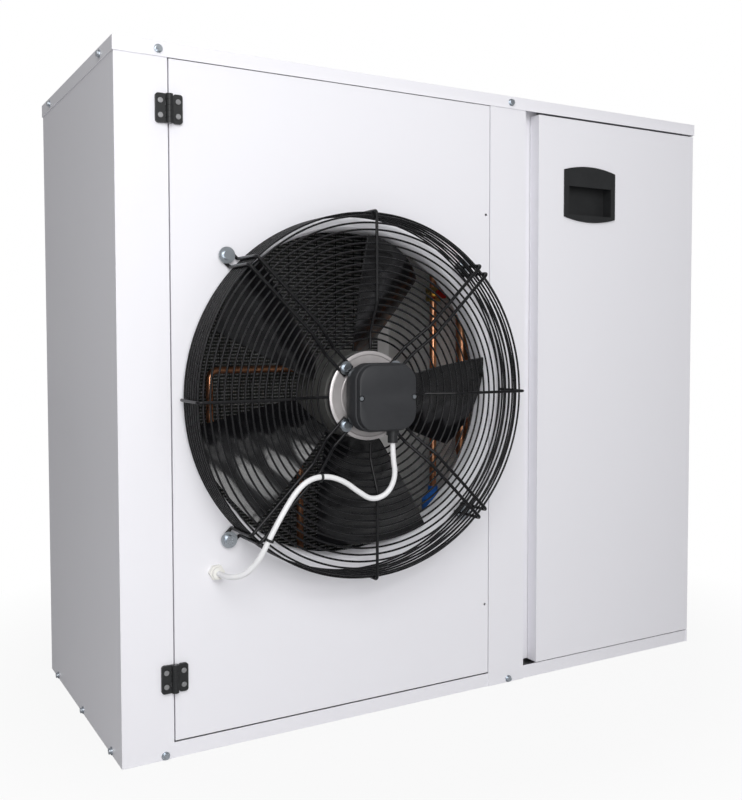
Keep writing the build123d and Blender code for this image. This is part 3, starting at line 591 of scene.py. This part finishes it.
def stacked(name, sections, *stands_for):
    """A moulding built up from rounded squares (half width, corner, depth), in millimetres."""
    mesh = bpy.data.meshes.new(name)
    made = bmesh.new()
    layers = []
    for half, corner, y in sections:
        layers.append([made.verts.new(fan_mm(x, y, z)) for x, z in rounded_square(half, corner)])
    for one, two in zip(layers, layers[1:]):
        for n in range(len(one)):
            m = (n + 1) % len(one)
            made.faces.new((one[n], one[m], two[m], two[n]))
    made.faces.new(layers[0])
    made.faces.new(layers[-1])
    bmesh.ops.recalc_face_normals(made, faces=made.faces)
    made.to_mesh(mesh)
    made.free()
    return put(name, mesh, "black_plastic", box_plastic, *stands_for)


def cut_with(obj, *cutters):
    """Cuts round pockets (centre, radius, depth along y) out of a piece for good."""
    tools = []
    for centre, radius, depth in cutters:
        mesh = bpy.data.meshes.new("cutter")
        made = bmesh.new()
        turn = Matrix.Translation(centre) @ Matrix.Rotation(math.radians(90), 4, "X")
        bmesh.ops.create_cone(
            made,
            cap_ends=True,
            segments=96 if radius > 0.05 else 24,
            radius1=radius,
            radius2=radius,
            depth=depth,
            matrix=turn,
        )
        made.to_mesh(mesh)
        made.free()
        tool = bpy.data.objects.new("cutter", mesh)
        bpy.context.scene.collection.objects.link(tool)
        tools.append(tool)
        cut = obj.modifiers.new("cut", "BOOLEAN")
        cut.operation = "DIFFERENCE"
        cut.solver = "EXACT"
        cut.object = tool
    done = evaluated_mesh(obj)
    obj.modifiers.clear()
    obj.data = done
    for tool in tools:
        mesh = tool.data
        bpy.data.objects.remove(tool)
        bpy.data.meshes.remove(mesh)


shade(stacked("terminal_box_tray", [(46, 24, -68), (46, 24, -83)], "terminal_box_base"))
lid_sections = [
    (49.2, 26.2, -83),
    (50, 27, -84),
    (50, 27, -101),
    (49.4, 26.4, -102.2),
    (47.6, 24.8, -102.6),
    (47.3, 24.6, -109.6),
    (46.6, 24.0, -111.2),
    (45.4, 23.0, -111.8),
]
lid = stacked("terminal_box_cap", lid_sections, "terminal_box_lid")
cut_with(lid, *[(fan_mm(x, -111.0, 0.0), 0.0045, 0.006) for x in (-44.0, 44.0)])
shade(lid)

# ---------------------------------------------------------------- motor flange, bell mouth and door
flange_profile = [
    (0.034, -0.0535),
    (0.0669, -0.0535),
    (0.0669, -0.0540),
    (0.0640, -0.0556),
    (0.0618, -0.0556),
    (0.0606, -0.0544),
    (0.0480, -0.0544),
    (0.0470, -0.0552),
    (0.0446, -0.0552),
    (0.0432, -0.0543),
    (0.034, -0.0543),
]
turned("motor_flange_face", flange_profile, "cast_aluminium", flange_painted_reflection)
mouth = [
    (MOUTH_R + 0.0025, 0.0002),
    (MOUTH_R, 0.0002),
    (MOUTH_R - 0.0030, 0.0010),
    (MOUTH_R - 0.0056, 0.0040),
    (MOUTH_R - 0.0072, 0.0090),
    (MOUTH_R - 0.0078, 0.0160),
    (MOUTH_R - 0.0078, 0.0360),
    (MOUTH_R - 0.0058, 0.0360),
    (MOUTH_R - 0.0058, 0.0170),
    (MOUTH_R - 0.0030, 0.0070),
    (MOUTH_R + 0.0025, 0.0020),
]
turned("bell_mouth", mouth, "white_paint", white, "fan_nozzle", segments=180)

# The door's sheet with its opening widened to the bell mouth
panel_mesh = nodes["fan_door_panel"].data.copy()
panel_mesh.name = "fan_door_skin"
fan_door_skin = put("fan_door_skin", panel_mesh, "white_paint", white, "fan_door_panel")
cut_with(fan_door_skin, (FAN, MOUTH_R, 0.2))
fan_door_skin.data.shade_flat()

# ---------------------------------------------------------------- shading of the CAD pieces
panels = ("top_cover", "left_panel", "centre_post", "service_door_panel", "right_panel")
fittings = ("door_grip", "hinge_frame_leaves", "fan_hinge_door_leaves")
small = (
    "service_hinge_door_leaves",
    "cabinet_screws",
    "foot_screws",
    "motor_bolts",
    "door_gland",
    "box_gland",
)
for obj in nodes.values():
    shade(obj)
for names, width, angle in ((panels, 0.0008, 50.0), (fittings, 0.0006, 40.0), (small, 0.0005, 40.0)):
    for name in names:
        soften(nodes[name], width, angle)


# ---------------------------------------------------------------- floor, light and camera
def stage_material(name, colour):
    """Plain white for the camera, apart from the object's own faint shadow close to it."""
    m = Nodes(name)
    m.set(Base_Color=(*colour, 1), Roughness=0.8, Specular_IOR_Level=0.1)
    glow = m.add("ShaderNodeEmission")
    glow.inputs["Color"].default_value = (1, 1, 1, 1)
    glow.inputs["Strength"].default_value = 1.0
    far = m.add("ShaderNodeVectorMath", operation="LENGTH")
    m.link(m.coords, far.inputs[0])
    share = m.add("ShaderNodeMapRange")
    share.inputs["From Min"].default_value = 0.55
    share.inputs["From Max"].default_value = 1.0
    share.inputs["To Min"].default_value = 0.90
    share.inputs["To Max"].default_value = 1.0
    m.link(far.outputs["Value"], share.inputs["Value"])
    ray = m.add("ShaderNodeLightPath")
    part = m.add("ShaderNodeMath", operation="MULTIPLY")
    mix = m.add("ShaderNodeMixShader")
    out = m.tree.nodes["Material Output"]
    m.link(ray.outputs["Is Camera Ray"], part.inputs[0])
    m.link(share.outputs["Result"], part.inputs[1])
    m.link(part.outputs[0], mix.inputs["Fac"])
    m.link(m.bsdf.outputs[0], mix.inputs[1])
    m.link(glow.outputs[0], mix.inputs[2])
    m.link(mix.outputs[0], out.inputs["Surface"])
    return m


mesh = bpy.data.meshes.new("studio_floor")
bm = bmesh.new()
bmesh.ops.create_grid(bm, x_segments=2, y_segments=2, size=9.0)
bm.to_mesh(mesh)
bm.free()
floor = bpy.data.objects.new("studio_floor", mesh)
floor.location = (0, 0, cad_box[0][2] - 0.0005)
bpy.context.scene.collection.objects.link(floor)
floor.data.materials.append(stage_material("studio_floor_white", (0.55, 0.55, 0.55)).mat)

world = bpy.data.worlds.new("studio")
bpy.context.scene.world = world
world.use_nodes = True
tree = world.node_tree
background = tree.nodes["Background"]
background.inputs["Strength"].default_value = 1.0
ray = tree.nodes.new("ShaderNodeLightPath")
mix = tree.nodes.new("ShaderNodeMix")
mix.data_type = "RGBA"
mix.inputs[6].default_value = (0.335, 0.335, 0.34, 1)  # what lights the part
mix.inputs[7].default_value = (1, 1, 1, 1)  # what the camera sees
tree.links.new(ray.outputs["Is Camera Ray"], mix.inputs[0])
tree.links.new(mix.outputs[2], background.inputs["Color"])


def lamp(name, place, target, size, power):
    data = bpy.data.lights.new(name, "AREA")
    data.shape = "RECTANGLE"
    data.size, data.size_y = size
    data.energy = power
    obj = bpy.data.objects.new(name, data)
    obj.location = place
    obj.rotation_euler = (Vector(target) - Vector(place)).to_track_quat("-Z", "Y").to_euler()
    bpy.context.scene.collection.objects.link(obj)


lamp("key_softbox", (-1.0, -2.05, 1.6), (-0.4, 0, 0.5), (1.3, 1.2), 27.5)
lamp("fan_fill", (-0.75, -2.0, 0.55), (-0.1, 0, 0.5), (0.7, 0.7), 8)
lamp("top_softbox", (0.2, -0.9, 3.2), (0, 0, 0.5), (2.0, 1.6), 12)

scene = bpy.context.scene
scene.view_settings.view_transform = "Standard"
data = bpy.data.cameras.new("camera")
data.sensor_width = 36.0
data.lens = 973.4 / 800 * data.sensor_width
data.shift_x = -36.8 / 800
data.shift_y = -22.5 / 800
camera = bpy.data.objects.new("camera", data)

# Solved from the cabinet's corners in the photograph
yaw = math.radians(31.05)
pitch = math.radians(-2.53)
look = Vector((math.sin(yaw) * math.cos(pitch), math.cos(yaw) * math.cos(pitch), math.sin(pitch)))
side = look.cross(Vector((0, 0, 1))).normalized()
up = side.cross(look)
turn = Matrix((side, up, -look)).transposed().to_4x4()
camera.matrix_world = Matrix.Translation((-0.8904, -1.5695, 0.5999)) @ turn
scene.collection.objects.link(camera)
scene.camera = camera
